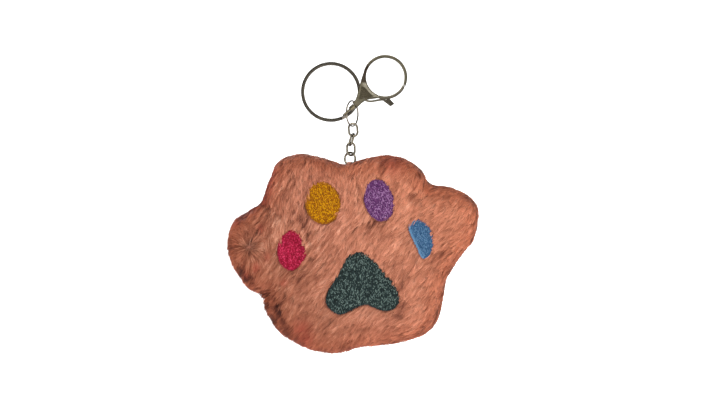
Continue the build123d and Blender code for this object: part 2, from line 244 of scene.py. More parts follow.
def worn_metal_with_painted_shade(name, edge, face, light, rough, painted_side_shade=0.0, extra=None):
    """Plated metal with painted shade: dark where it turns away from the broad faces, light where it faces
    straight to the front or back, with thin tarnish and scratches.
    """
    mat, nodes, links, shader = material(name)
    coords = nodes.new("ShaderNodeTexCoord")
    turned = nodes.new("ShaderNodeSeparateXYZ")
    links.new(coords.outputs["Normal"], turned.inputs["Vector"])
    # Painted shade and highlight: darker where the surface turns away from the front and back, lighter where
    # it faces them.
    painted_facing_shade = math_node(nodes, links, "ABSOLUTE", turned.outputs["Y"], 0.0)
    cloud = noise_node(nodes, links, 260.0, 4.0, 0.6)
    tarnish = range_node(nodes, links, cloud.outputs["Fac"], 0.3, 0.7, -0.10, 0.10)
    # The edge colour is the painted shade, the light colour the painted highlight.
    colours = ramp(nodes, ((0.22, edge), (0.66, face), (0.97, light)))
    links.new(math_node(nodes, links, "ADD", painted_facing_shade, tarnish), colours.inputs["Fac"])
    colour = colours.outputs["Color"]
    # Painted shade, darker on the side that faces one fixed way.
    if painted_side_shade:
        side = vector_node(nodes, links, "DOT_PRODUCT", coords.outputs["Normal"], PAINTED_SHADE_WAY, "Value")
        gain = range_node(nodes, links, side, -0.8, 0.8, 1 + painted_side_shade, 1 - painted_side_shade)
        colour = scaled(nodes, links, colour, gain)
    if extra:
        colour = extra(nodes, links, coords, colour)
    links.new(colour, shader.inputs["Base Color"])
    shader.inputs["Metallic"].default_value = 1.0
    polish = range_node(nodes, links, cloud.outputs["Fac"], 0.25, 0.75, rough - 0.07, rough + 0.12)
    links.new(polish, shader.inputs["Roughness"])
    scratch = noise_node(nodes, links, 1500.0, 2.0, 0.5)
    bump_from(nodes, links, shader, scratch.outputs["Fac"], 0.12, 0.00005)
    return mat


def knitted_backing():
    """Cloth that the pile stands on."""
    mat, nodes, links, shader = material("knitted_backing")
    cloud = noise_node(nodes, links, 90.0)
    stops = ((0.35, srgb(134, 78, 60)), (0.65, srgb(166, 102, 80)))
    painted(nodes, links, shader, cloud.outputs["Fac"], stops, 0.9)
    fine = noise_node(nodes, links, 1500.0)
    bump_from(nodes, links, shader, fine.outputs["Fac"], 0.5, 0.0003)
    return mat


def woven_tape():
    """Ribbed tape that the paw hangs by."""
    mat, nodes, links, shader = material("woven_tape")
    coords = nodes.new("ShaderNodeTexCoord")
    wave = nodes.new("ShaderNodeTexWave")
    wave.inputs["Scale"].default_value = 700.0
    wave.inputs["Distortion"].default_value = 0.6
    wave.bands_direction = "Z"
    links.new(coords.outputs["Object"], wave.inputs["Vector"])
    stops = ((0.2, srgb(140, 84, 66)), (0.8, srgb(196, 140, 116)))
    painted(nodes, links, shader, wave.outputs["Fac"], stops, 0.8)
    bump_from(nodes, links, shader, wave.outputs["Fac"], 0.6, 0.00015)
    return mat


fur_material = toned_fibre("pile_fibre", 0.66, 0.06, 0.45, 700.0, 0.10, 0.18)
thread_material = toned_fibre("embroidery_thread", 0.55, 0.02, 0.3, 2600.0, 0.14, 0.14)
knit = knitted_backing()
weave = woven_tape()

# Places and radii on the metal, in metres.
CLASP_MID = (0.0270, -0.0056, 0.0070)      # centre of the clasp's hoop
SHANK = (0.0166, 0.0, 0.0088)              # middle of the clasp's brown shank
IN_FACE = (1, 0, 1)                        # keeps the part of a vector that lies in the face


def band_shade(middle, radius, half, lit, low, high):
    """Shading of a flat ring's face as if it were crowned, lighter on the side towards lit."""
    def shade(nodes, links, coords, colour):
        arm = vector_node(nodes, links, "SUBTRACT", coords.outputs["Object"], middle)
        flat = vector_node(nodes, links, "MULTIPLY", arm, IN_FACE)
        size = vector_node(nodes, links, "LENGTH", flat, output="Value")
        out = vector_node(nodes, links, "NORMALIZE", flat)
        toward = vector_node(nodes, links, "DOT_PRODUCT", out, lit, "Value")
        across = range_node(nodes, links, size, radius - half, radius + half, -1.0, 1.0)
        lean = math_node(nodes, links, "MULTIPLY", toward, across)
        return scaled(nodes, links, colour, range_node(nodes, links, lean, -0.75, 0.75, low, high))
    return shade


ring_shade = band_shade((0, 0, 0), 0.01415, 0.00085, (0.86, 0.0, -0.5), 0.62, 2.1)
hoop_shade = band_shade(CLASP_MID, 0.01025, 0.00075, (-0.8, 0.0, 0.6), 0.55, 1.7)


def clasp_marks(nodes, links, coords, colour):
    """Painted highlight on a band round the hoop, painted shade in the sunk panels and a brown shank on the
    clasp's body.
    """
    colour = hoop_shade(nodes, links, coords, colour)
    flat = vector_node(nodes, links, "MULTIPLY", coords.outputs["Object"], IN_FACE)
    depth = nodes.new("ShaderNodeSeparateXYZ")
    links.new(coords.outputs["Object"], depth.inputs["Vector"])
    off = math_node(nodes, links, "SUBTRACT", depth.outputs["Y"], CLASP_MID[1])
    level = math_node(nodes, links, "ABSOLUTE", off, 0.0)
    hoop = (CLASP_MID[0], 0, CLASP_MID[2])
    radius = vector_node(nodes, links, "DISTANCE", flat, hoop, "Value")
    # Painted highlight on the raised band beside the hoop.
    raised = range_node(nodes, links, level, 0.00140, 0.00160)
    beside = range_node(nodes, links, radius, 0.0113, 0.0121, 1.0, 0.0)
    painted_highlight_band = math_node(nodes, links, "MULTIPLY", raised, beside)
    colour = blended(nodes, links, painted_highlight_band, colour, srgb(196, 188, 168))
    # Painted shade in the sunk panels.
    low = range_node(nodes, links, level, 0.00136, 0.00145, 1.0, 0.0)
    beyond = range_node(nodes, links, radius, 0.01105, 0.0112)
    painted_recess_shade = math_node(nodes, links, "MULTIPLY", low, beyond)
    colour = blended(nodes, links, painted_recess_shade, colour, srgb(98, 91, 74))
    from_shank = vector_node(nodes, links, "DISTANCE", flat, SHANK, "Value")
    shank = range_node(nodes, links, from_shank, 0.0042, 0.0052, 0.92, 0.0)
    return blended(nodes, links, shank, colour, srgb(74, 62, 52))


# Each metal: colours of its painted shade, its faces and its painted highlight, then roughness and strength
# of its painted side shade.
BRIGHT_NICKEL = (srgb(54, 48, 39), srgb(88, 82, 70), srgb(126, 119, 104))
nickel = worn_metal_with_painted_shade("antique_nickel", *BRIGHT_NICKEL, 0.23, 0.25)
gate_nickel = worn_metal_with_painted_shade("gate_nickel", *BRIGHT_NICKEL, 0.23, 0.2, hoop_shade)
body_nickel = worn_metal_with_painted_shade("clasp_nickel", srgb(56, 50, 39), srgb(90, 84, 70), srgb(118, 112, 94),
                         0.22, 0.22, clasp_marks)
swivel_nickel = worn_metal_with_painted_shade("swivel_nickel", srgb(44, 39, 28), srgb(78, 71, 54), srgb(112, 105, 84),
                           0.26, 0.25)
ring_metal = worn_metal_with_painted_shade("ring_steel", srgb(44, 39, 33), srgb(64, 59, 51), srgb(86, 81, 73),
                        0.20, 0.5, ring_shade)
pin_metal = worn_metal_with_painted_shade("pin_steel", srgb(50, 46, 40), srgb(84, 79, 70), srgb(116, 110, 100), 0.24)
wire_metal = worn_metal_with_painted_shade("jump_ring_wire", srgb(42, 37, 32), srgb(84, 78, 70), srgb(126, 119, 108),
                        0.22, 0.2)

# ---------------------------------------------------------------- the paw's form
# Points in mm: x to the right and z up, seen from the padded face.

OUTLINE = (
    (-25.6, -34.4), (-15.5, -31.0), (-5.0, -32.6), (6.2, -35.6), (15.5, -33.6), (27.4, -31.5),
    (37.0, -33.4), (44.6, -38.2), (50.0, -45.6), (60.6, -47.8), (69.7, -52.8), (73.6, -60.0),
    (71.8, -72.6), (65.4, -81.6), (58.1, -93.0), (56.0, -103.8), (53.1, -114.4), (45.7, -121.6),
    (32.4, -125.6), (15.8, -127.3), (2.6, -130.2), (-10.7, -128.0), (-25.4, -119.2),
    (-32.5, -108.2), (-34.0, -101.2), (-41.0, -97.4), (-48.2, -87.6), (-51.2, -78.0),
    (-50.6, -69.8), (-47.4, -63.6), (-40.5, -58.8), (-34.9, -54.4), (-30.8, -44.0),
)
PILE_REACH = 0.7          # how far the pile stands out past the cloth at the rim
CENTRE = np.array([10.0, -82.0])
SAMPLES = 14              # samples from each point of an outline to the next


def closed_curve(points, steps):
    """Smooth closed curve through the points, as an array of samples."""
    p = np.array(points, float)
    rows = []
    for k in range(len(p)):
        a, b, c, d = p[k - 1], p[k], p[(k + 1) % len(p)], p[(k + 2) % len(p)]
        for t in np.linspace(0, 1, steps, endpoint=False):
            rows.append(0.5 * (2 * b + (c - a) * t + (2 * a - 5 * b + 4 * c - d) * t * t
                               + (3 * b - a - 3 * c + d) * t ** 3))
    return np.array(rows)


silhouette = closed_curve(OUTLINE, SAMPLES)
edge = np.roll(silhouette, -1, axis=0) - np.roll(silhouette, 1, axis=0)
inward = unit(np.stack([edge[:, 1], -edge[:, 0]], axis=1))
rim_line = silhouette + inward * PILE_REACH


def distance_to(line, x, z):
    """Distance from many points to a closed line of samples."""
    out = np.empty(x.size)
    flat = np.stack([x.ravel(), z.ravel()], axis=1)
    for start in range(0, len(flat), 8000):
        part = flat[start:start + 8000]
        gap = part[:, None, :] - line[None, :, :]
        out[start:start + 8000] = np.sqrt((gap ** 2).sum(axis=2).min(axis=1))
    return out.reshape(x.shape)


def along_segment(x, z, a, b):
    """Distance to a segment and the share of the way along it."""
    ax, az = a
    dx, dz = b[0] - ax, b[1] - az
    t = np.clip(((x - ax) * dx + (z - az) * dz) / (dx * dx + dz * dz), 0, 1)
    return np.hypot(x - ax - t * dx, z - az - t * dz), t


# Soft valleys that run in from the notches between the toes: from, to, depth, width.
VALLEYS = (
    ((50.5, -45.5), (34.0, -66.0), 2.6, 3.6),
    ((-36.0, -54.0), (-17.0, -66.0), 2.8, 3.8),
    ((-35.0, -101.5), (-18.0, -94.0), 2.4, 3.8),
    ((8.0, -35.0), (11.0, -56.0), 2.0, 4.2),
    ((60.0, -91.0), (44.0, -84.0), 1.4, 4.0),
)


SHOULDER = 24.0           # distance from the rim over which the form rises
CROWN = 42.0              # distance over which it still rises a little
SIDE_HEIGHT = 11.6        # half thickness where the shoulder ends
CROWN_HEIGHT = 1.2        # what the crown adds to it


def half_thickness(x, z):
    """Half the stuffed thickness of the cloth form at a place on the face."""
    d = distance_to(rim_line, x, z)
    reach = np.clip(d / SHOULDER, 0, 1)
    form = (1 - (1 - reach) ** 2.5) ** (1 / 2.5)
    tall = SIDE_HEIGHT + CROWN_HEIGHT * np.clip(d / CROWN, 0, 1) ** 0.8
    t = tall * form
    for a, b, depth, width in VALLEYS:
        gap, way = along_segment(x, z, a, b)
        t = t - depth * (1 - way) ** 0.8 * np.exp(-(gap / width) ** 2) * np.clip(d / 4.0, 0, 1)
    lumps = 0.35 * noise2(x, z, 15.0, 5) + 0.18 * noise2(x, z, 7.0, 6)
    return np.maximum(t + lumps * np.clip(d / 8.0, 0, 1), 0)


TURNS = len(rim_line)
RINGS = 44
spread = 1 - (1 - np.linspace(0, 1, RINGS)) ** 2.3
ring_x = CENTRE[0] + spread[:, None] * (rim_line[None, :, 0] - CENTRE[0])
ring_z = CENTRE[1] + spread[:, None] * (rim_line[None, :, 1] - CENTRE[1])
thick = half_thickness(ring_x, ring_z)
thick[-1] = 0.0


def half_shell(side):
    """Points of one face of the form, rings from the centre out; side is -1 in front."""
    return np.stack([ring_x, side * thick, ring_z], axis=2)


def ring_normals(points):
    """Outward normals of a half shell."""
    down = np.gradient(points, axis=0)
    around = np.roll(points, -1, axis=1) - np.roll(points, 1, axis=1)
    return unit(np.cross(down, around))


front_points = half_shell(-1)
back_points = half_shell(1)
front_normals = ring_normals(front_points)
if front_normals[3, :, 1].mean() > 0:
    front_normals = -front_normals
back_normals = ring_normals(back_points)
if back_normals[3, :, 1].mean() < 0:
    back_normals = -back_normals

skin_verts = np.concatenate([front_points[1:].reshape(-1, 3), back_points[1:-1][::-1].reshape(-1, 3),
                             front_points[0, :1], back_points[0, :1]])
rows = 2 * (RINGS - 1) - 1
skin_faces = ring_quads(rows, TURNS).tolist()
tip_front, tip_back = len(skin_verts) - 2, len(skin_verts) - 1
last = (rows - 1) * TURNS
for k in range(TURNS):
    following = (k + 1) % TURNS
    skin_faces.append([following, k, tip_front])
    skin_faces.append([last + k, last + following, tip_back])
skin = new_object("plush_skin", skin_verts, skin_faces, knit)
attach(skin, "paw")
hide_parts("front_panel", "back_panel", "stuffing", "embroidery_stabiliser")

# ---------------------------------------------------------------- pads

PAD_CURVES = {
    "toe_pad_pink": ((-19.2, -68.8), (-15.5, -70.3), (-14.2, -73.0), (-13.4, -76.0), (-12.0, -78.9),
                     (-12.5, -82.4), (-14.2, -85.5), (-17.0, -87.8), (-20.0, -88.5), (-23.0, -86.8),
                     (-25.3, -83.4), (-26.0, -78.7), (-25.3, -74.4), (-23.2, -71.0)),
    "toe_pad_blue": ((42.8, -63.6), (45.9, -64.9), (48.7, -68.0), (50.3, -72.9), (49.9, -77.8),
                     (48.3, -81.4), (46.1, -82.7), (44.4, -81.8), (43.0, -78.3), (41.1, -74.2),
                     (39.3, -70.4), (38.6, -67.1), (39.9, -64.7)),
    "palm_pad": ((13.4, -79.6), (18.7, -81.2), (23.0, -85.6), (27.0, -90.2), (31.3, -95.2),
                 (33.8, -100.2), (33.9, -104.3), (31.5, -107.4), (26.6, -108.6), (21.6, -107.0),
                 (17.5, -105.5), (13.3, -106.6), (9.2, -108.6), (4.6, -110.3), (0.0, -108.0),
                 (-2.2, -104.2), (-1.4, -99.7), (2.2, -93.4), (6.1, -85.8), (9.2, -81.3)),
}
PAD_OVALS = {
    "toe_pad_yellow": ((-3.8, -55.5), (8.5, 10.4), 10),
    "toe_pad_purple": ((23.9, -54.1), (7.1, 10.4), 14),
}
PAD_TILT = {"toe_pad_pink": 2, "toe_pad_yellow": 10, "toe_pad_purple": 14, "toe_pad_blue": 21, "palm_pad": 4}


def pad_line(name):
    """Outline of a pad as samples."""
    if name in PAD_CURVES:
        return closed_curve(PAD_CURVES[name], SAMPLES)
    (cx, cz), (a, b), tilt = PAD_OVALS[name]
    t = np.linspace(0, 2 * math.pi, 160, endpoint=False)
    x, z = a * np.cos(t), b * np.sin(t)
    turn = math.radians(tilt)
    return np.stack([cx + x * math.cos(turn) - z * math.sin(turn),
                     cz + x * math.sin(turn) + z * math.cos(turn)], axis=1)


def inside(line, x, z):
    """Whether points lie inside a closed line, by the crossing rule."""
    hit = np.zeros(x.shape, bool)
    after = np.roll(line, -1, axis=0)
    for (x1, z1), (x2, z2) in zip(line, after):
        crosses = (z1 > z) != (z2 > z)
        if crosses.any():
            with np.errstate(divide="ignore", invalid="ignore"):
                at = (x2 - x1) * (z - z1) / (z2 - z1) + x1
            hit ^= crosses & (x < at)
    return hit


pad_lines = {name: pad_line(name) for name in PAD_TILT}

# Thickness and slope of the face on a grid, for whatever is laid on it.
GRID = 0.5
grid_x = np.arange(-54, 77, GRID)
grid_z = np.arange(-133, -28, GRID)
gx, gz = np.meshgrid(grid_x, grid_z, indexing="ij")
grid_t = half_thickness(gx, gz)
slope_x = np.gradient(grid_t, GRID, axis=0)
slope_z = np.gradient(grid_t, GRID, axis=1)


def on_grid(table, x, z):
    u = np.clip((np.asarray(x) - grid_x[0]) / GRID, 0, len(grid_x) - 1.001)
    v = np.clip((np.asarray(z) - grid_z[0]) / GRID, 0, len(grid_z) - 1.001)
    i, j = u.astype(int), v.astype(int)
    fu, fv = u - i, v - j
    return ((table[i, j] * (1 - fu) + table[i + 1, j] * fu) * (1 - fv)
            + (table[i, j + 1] * (1 - fu) + table[i + 1, j + 1] * fu) * fv)


def face_point(x, z, height):
    """Point on the front face, standing out by height along its normal."""
    t = on_grid(grid_t, x, z)
    n = unit(np.stack([-on_grid(slope_x, x, z), -np.ones_like(t), -on_grid(slope_z, x, z)], axis=-1))
    return np.stack([x, -t, z], axis=-1) + n * np.asarray(height)[..., None], n


def threads(name, starts, ends, radius, arch, colours, lift, sides=6, steps=5):
    """Separate stitches on the face: thread arcs from start to end that dive in at both ends."""
    u = np.linspace(0, 1, steps + 1)
    across = ends - starts
    line = starts[:, None, :] + across[:, None, :] * u[None, :, None]
    height = lift + arch * np.sin(math.pi * u) ** 0.6
    points, normals = face_point(line[..., 0], line[..., 1], np.broadcast_to(height, line.shape[:2]))
    tangent = unit(np.gradient(points, axis=1))
    side = unit(np.cross(tangent, normals))
    over = np.cross(side, tangent)
    girth = radius * (0.45 + 0.55 * np.sin(math.pi * np.clip(u, 0.02, 0.98)) ** 0.5)
    turn = np.linspace(0, 2 * math.pi, sides, endpoint=False)
    ring = (side[:, :, None, :] * np.cos(turn)[None, None, :, None]
            + over[:, :, None, :] * np.sin(turn)[None, None, :, None])
    verts = points[:, :, None, :] + ring * girth[None, :, None, None]
    first = np.arange(len(starts)) * (steps + 1) * sides
    faces = (ring_quads(steps + 1, sides)[None] + first[:, None, None]).reshape(-1, 4)
    flat = verts.reshape(-1, 3)
    obj = new_object(name, flat, faces, thread_material)
    set_colours(obj, np.repeat(colours, (steps + 1) * sides, axis=0))
    set_bake_map(obj, flat)
    return obj


# Each pad's thread: darkest, middle and lightest colour, and the share of light stitches, which are painted
# sheen.
PAD_LOOK = {
    "toe_pad_pink": ((116, 4, 34), (168, 20, 58), (208, 62, 100), 0.34),
    "toe_pad_yellow": ((110, 58, 0), (176, 110, 0), (216, 160, 6), 0.38),
    "toe_pad_purple": ((68, 32, 76), (116, 66, 120), (170, 128, 174), 0.32),
    "toe_pad_blue": ((44, 78, 114), (70, 108, 146), (98, 136, 168), 0.34),
    "palm_pad": ((14, 24, 26), (42, 58, 58), (116, 136, 130), 0.28),
}
PITCH = 0.36              # from one column of stitches to the next
STITCH = 0.62             # length of a stitch
SHORTEST = 0.2            # stitches cut shorter than this by the outline are left out
EDGE_PITCH = 0.56         # from one stitch across the outline to the next
EDGE_REACH = 0.95         # how far those stitches reach into the pad
GROUND = 0.62             # height of the ground under the stitches


def fill_ends(line, middle, down, side):
    """Ends of the stitches that fill a pad, laid in columns and each column set off by half."""
    local = (line - middle) @ np.stack([side, down], axis=1)
    starts, ends = [], []
    column = 0
    s = local[:, 0].min() + PITCH / 2
    while s < local[:, 0].max():
        probe = np.arange(local[:, 1].min(), local[:, 1].max(), 0.1)
        at = middle + side * s + down * probe[:, None]
        good = inside(line, at[:, 0], at[:, 1])
        if good.any():
            edges = np.flatnonzero(np.diff(np.concatenate([[0], good.astype(int), [0]])))
            for first, after in zip(edges[::2], edges[1::2]):
                low, high = probe[first], probe[min(after, len(probe) - 1)]
                t = low - STITCH * ((column * 0.5 + rng.normal(0, 0.06)) % 1.0)
                while t < high:
                    a, b = max(t, low), min(t + STITCH, high)
                    if b - a > SHORTEST:
                        drift = rng.normal(0, 0.035, 2)
                        starts.append(middle + side * (s + drift[0]) + down * a)
                        ends.append(middle + side * (s + drift[1]) + down * b)
                    t += STITCH
        column += 1
        s += PITCH
    return np.array(starts), np.array(ends)


def fill_colours(count, dark, mid, light, share):
    shade = np.clip(rng.normal(0.45, 0.30, count), 0, 1)[:, None]
    colours = dark * (1 - shade) + mid * shade
    # Painted sheen: a share of the stitches is lighter, as thread catching the light.
    sheen_stitches = rng.random(count) < share
    painted_sheen = rng.uniform(0.25, 0.9, (sheen_stitches.sum(), 1))
    colours[sheen_stitches] = mid * (1 - painted_sheen) + light * painted_sheen
    return colours


def lap_length(line):
    """A closed line with its start repeated, and the distance along it at each point."""
    lap = np.concatenate([line, line[:1]])
    return lap, np.concatenate([[0], np.cumsum(np.hypot(*np.diff(lap, axis=0).T))])


def edge_stitches(name, line, middle, dark, mid):
    """Short stitches across the outline that hold the pad's edge down."""
    lap, length = lap_length(line)
    places = np.arange(0, length[-1], EDGE_PITCH)
    px = np.interp(places, length, lap[:, 0])
    pz = np.interp(places, length, lap[:, 1])
    ahead = unit(np.stack([np.interp(places + 0.4, length, lap[:, 0]) - px,
                           np.interp(places + 0.4, length, lap[:, 1]) - pz], axis=1) + 1e-6)
    base = np.stack([px, pz], axis=1)
    out = np.stack([ahead[:, 1], -ahead[:, 0]], axis=1)
    if ((base - middle) * out).sum() < 0:
        out = -out
    lean = ahead * rng.normal(0.15, 0.12, (len(px), 1))
    far = rng.uniform(0.05, 0.50, (len(px), 1))
    shade = rng.uniform(0, 0.45, (len(px), 1))
    colours = dark * (1 - shade) + mid * shade
    if name == "toe_pad_blue":
        colours[out[:, 0] < -0.3] = srgb(96, 138, 172)
    return threads(name + "_edge", base - out * EDGE_REACH, base + (out + lean) * far, 0.23, 0.28,
                   colours, lift=0.66)


def pad_ground(name, line, middle, dark):
    """Closed cloth under the stitches, painted darker than the darkest thread as the shade between them."""
    shrunk = middle + (line - middle) * 0.985
    stack = np.stack([middle + (shrunk - middle) * f for f in np.linspace(0.02, 1, 14)])
    points, _ = face_point(stack[..., 0], stack[..., 1], np.full(stack.shape[:2], GROUND))
    quads = ring_quads(len(stack), len(line))
    ground = new_object(name + "_ground", points.reshape(-1, 3), quads, thread_material)
    # Painted shade between the stitches.
    set_colours(ground, np.tile(dark * 0.7, (points.shape[0] * len(line), 1)))
    return ground


def embroider(name):
    line = pad_lines[name]
    tilt = math.radians(PAD_TILT[name])
    middle = line.mean(axis=0)
    down = np.array([-math.sin(tilt), math.cos(tilt)])
    side = np.array([math.cos(tilt), math.sin(tilt)])
    *tones, share = PAD_LOOK[name]
    dark, mid, light = (srgb(*tone) for tone in tones)
    starts, ends = fill_ends(line, middle, down, side)
    colours = fill_colours(len(starts), dark, mid, light, share)
    fill = threads(name + "_fill", starts, ends, 0.21, 0.26, colours, lift=0.64, sides=5, steps=4)
    border = edge_stitches(name, line, middle, dark, mid)
    ground = pad_ground(name, line, middle, dark)
    for piece in (fill, border, ground):
        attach(piece, "paw")
    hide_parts(name)


for pad_name in pad_lines:
    embroider(pad_name)

# ---------------------------------------------------------------- pile

FACE_LOOK = (
    (0.00, (84, 42, 32)), (0.22, (128, 74, 58)), (0.45, (172, 108, 86)),
    (0.62, (194, 127, 103)), (0.80, (214, 148, 124)), (1.00, (236, 178, 154)),
)


def colour_ramp(tone):
    at = [stop for stop, _ in FACE_LOOK]
    table = np.array([srgb(*c) for _, c in FACE_LOOK])
    return np.stack([np.interp(tone, at, table[:, c]) for c in range(3)], axis=-1)


def gauss(x, z, cx, cz, sx, sz=None, turn=0.0):
    sz = sz or sx
    c, s = math.cos(math.radians(turn)), math.sin(math.radians(turn))
    u = (x - cx) * c + (z - cz) * s
    v = -(x - cx) * s + (z - cz) * c
    return np.exp(-(u / sx) ** 2 - (v / sz) ** 2)


WHORL = (-40.5, -77.5)
# Partings where the pile opens, painted dark as the shade deep in it: from, to, half width, strength.
PAINTED_SHADE_PARTINGS = (
    ((-28.5, -101.0), (-24.5, -110.0), 1.3, 0.42),
    ((-25.5, -108.0), (-20.5, -119.0), 1.5, 0.50),
    ((-32.0, -104.0), (-27.0, -116.0), 1.8, 0.26),
    ((40.5, -47.5), (39.5, -53.0), 1.2, 0.30),
    ((26.0, -36.0), (24.5, -45.0), 1.1, 0.30),
    ((49.0, -84.5), (55.5, -79.5), 1.2, 0.22),
    ((33.5, -98.0), (36.0, -93.5), 1.2, 0.25),
    ((33.0, -112.0), (36.0, -104.0), 1.3, 0.22),
    ((19.0, -66.5), (27.0, -68.0), 1.1, 0.35),
    ((-14.5, -63.0), (-11.0, -72.0), 1.1, 0.35),
    ((-44.5, -88.0), (-38.0, -95.0), 1.6, 0.50),
    ((-22.0, -88.0), (-15.0, -93.0), 1.5, 0.25),
)


# Soft folds that catch the light or lie in shade: from, to, half width, rise in tone.
FOLDS = (
    ((33.0, -46.0), (47.0, -52.0), 2.2, 0.14), ((36.0, -50.5), (46.0, -56.0), 1.8, -0.14),
    ((34.5, -60.0), (40.0, -55.0), 2.0, 0.14), ((24.5, -68.5), (35.0, -66.5), 1.8, 0.13),
    ((22.5, -71.5), (33.0, -70.5), 1.5, -0.13), ((15.5, -78.0), (16.5, -68.0), 1.6, 0.14),
    ((31.5, -36.5), (26.0, -47.0), 1.8, 0.12), ((27.5, -37.0), (33.0, -48.0), 1.3, -0.12),
    ((46.0, -85.0), (57.5, -78.0), 1.8, -0.12), ((40.0, -92.0), (52.0, -87.5), 1.6, -0.10),
    ((-24.0, -66.5), (-22.0, -60.0), 1.6, 0.20), ((-27.5, -72.0), (-25.0, -64.0), 1.6, 0.16),
    ((-9.0, -73.0), (-13.0, -64.0), 1.6, -0.12), ((34.0, -113.0), (38.5, -103.0), 2.0, -0.14),
    ((8.0, -116.0), (30.0, -119.0), 2.4, -0.10), ((10.0, -112.0), (24.0, -110.5), 1.5, 0.12),
    ((50.0, -53.0), (62.0, -56.0), 2.4, -0.10), ((-28.0, -42.0), (-24.5, -55.0), 1.8, 0.12),
)


def comb_angle(x, z):
    """Direction in which the pile lies on the face, in degrees above +x."""
    a = 237.0 + 14 * noise2(x, z, 22.0, 11) + 9 * noise2(x, z, 8.0, 12)
    a = a - 26 * gauss(x, z, 52, -70, 26, 22) + 16 * gauss(x, z, 0, -42, 26, 12)
    a = a - 18 * gauss(x, z, 40, -112, 24, 16) + 22 * gauss(x, z, -22, -62, 12, 16)
    away = np.degrees(np.arctan2(z - WHORL[1], x - WHORL[0]))
    pull = gauss(x, z, WHORL[0], WHORL[1], 8.0, 8.5)
    turn = (away - a + 180) % 360 - 180
    return a + turn * np.clip(pull * 1.25, 0, 1)


def contrast(x):
    """How strongly light and dark differ: most on the tousled left, least on the smooth right."""
    return np.interp(x, (-42.0, -12.0, 25.0, 60.0), (1.15, 0.75, 0.55, 0.50))


def face_tone(x, z):
    """Light and dark of the pile on the face, before each tuft's own."""
    c, s = math.cos(math.radians(55)), math.sin(math.radians(55))
    u, v = x * c + z * s, -x * s + z * c
    streak = 0.17 * noise2(u / 4.5, v, 0.9, 21) + 0.08 * noise2(u / 3.0, v, 2.4, 22)
    tone = 0.55 + contrast(x) * streak + 0.07 * noise2(x, z, 9.0, 23)
    for a, b, width, rise in FOLDS:
        gap, way = along_segment(x, z, a, b)
        tone = tone + rise * np.exp(-(gap / width) ** 2) * np.sin(math.pi * (0.15 + 0.7 * way))
    ragged = 0.9 * noise2(x, z, 2.2, 24)
    # Painted shade along the partings.
    for a, b, width, depth in PAINTED_SHADE_PARTINGS:
        gap, _ = along_segment(x, z, a, b)
        tone = tone - depth * np.exp(-((gap + ragged) / width) ** 2)
    # Painted shade: darker near the rim, where the form turns away.
    d = distance_to(silhouette, x, z)
    tone = tone - 0.16 * np.exp(-(d / 3.5) ** 2)
    # Lighter in a streak at the pink pad's upper left, and a painted highlight on the right edge.
    tone = tone + 0.22 * gauss(x, z, -25.5, -68, 2.2, 7, 12) + 0.12 * gauss(x, z, 66, -80, 8, 16)
    # Lighter round the whorl, with painted shade at its centre where the pile parts.
    tone = tone + 0.10 * gauss(x, z, WHORL[0], WHORL[1], 7.0)
    return tone - 0.22 * gauss(x, z, WHORL[0], WHORL[1], 2.0)


# The pile is brown in the shade of the far left, and grows lighter and pinker to the upper right.
LIGHT_WAY = 30.0                    # the way in which the face grows lighter, degrees above +x
LIGHT_RUN = 50.0                    # from the face's centre to full light or full shade
SHADE_TINT = (0.60, 0.50, 0.42)
MIDDLE_TINT = (1.00, 1.00, 0.95)
LIGHT_TINT = (1.15, 1.15, 1.05)
RIM_TINT = (0.90, 0.70, 0.60)       # the rim is redder than the face beside it
RIM_REACH = 9.0


def tint(x, z):
    """Tint of the pile for where it stands on the face: painted shade to the lower left, painted light to
    the upper right, redder at the rim.
    """
    way = math.radians(LIGHT_WAY)
    along = ((x - CENTRE[0]) * math.cos(way) + (z - CENTRE[1]) * math.sin(way)) / LIGHT_RUN
    stops = zip(SHADE_TINT, MIDDLE_TINT, LIGHT_TINT)
    face = np.stack([np.interp(along, (-1.0, 0.0, 1.0), stop) for stop in stops], axis=-1)
    rim = np.exp(-(distance_to(silhouette, x, z) / RIM_REACH) ** 2)[..., None]
    return face * (1 - rim * (1 - np.array(RIM_TINT)))


def face_colour(x, z, tone):
    """Colour of the pile, with the redder places on its left, and the painted shade and light of its tint.
    """
    colour = colour_ramp(np.clip(tone, 0, 1))
    gap, _ = along_segment(x, z, (-29.5, -39.0), (-34.0, -53.5))
    red = 0.95 * np.exp(-(gap / 3.6) ** 2)
    gap, _ = along_segment(x, z, (-34.0, -54.5), (-48.0, -63.0))
    red = np.maximum(red, 0.85 * np.exp(-(gap / 3.0) ** 2))
    for cx, cz, size in ((-41.5, -91.0, 1.6), (-36.5, -87.0, 1.8), (-31.0, -81.5, 1.6),
                         (-22.5, -94.0, 1.8), (-13.5, -117.0, 4.5), (-12.0, -122.0, 4.0),
                         (-46.5, -66.0, 2.2), (-34.5, -68.0, 1.8), (31.0, -36.0, 6.0)):
        red = np.maximum(red, 0.6 * gauss(x, z, cx, cz, size))
    brick = srgb(158, 64, 48) * (0.45 + 0.85 * np.clip(tone, 0, 1))[..., None]
    return colour * tint(x, z) * (1 - red[..., None]) + brick * red[..., None]


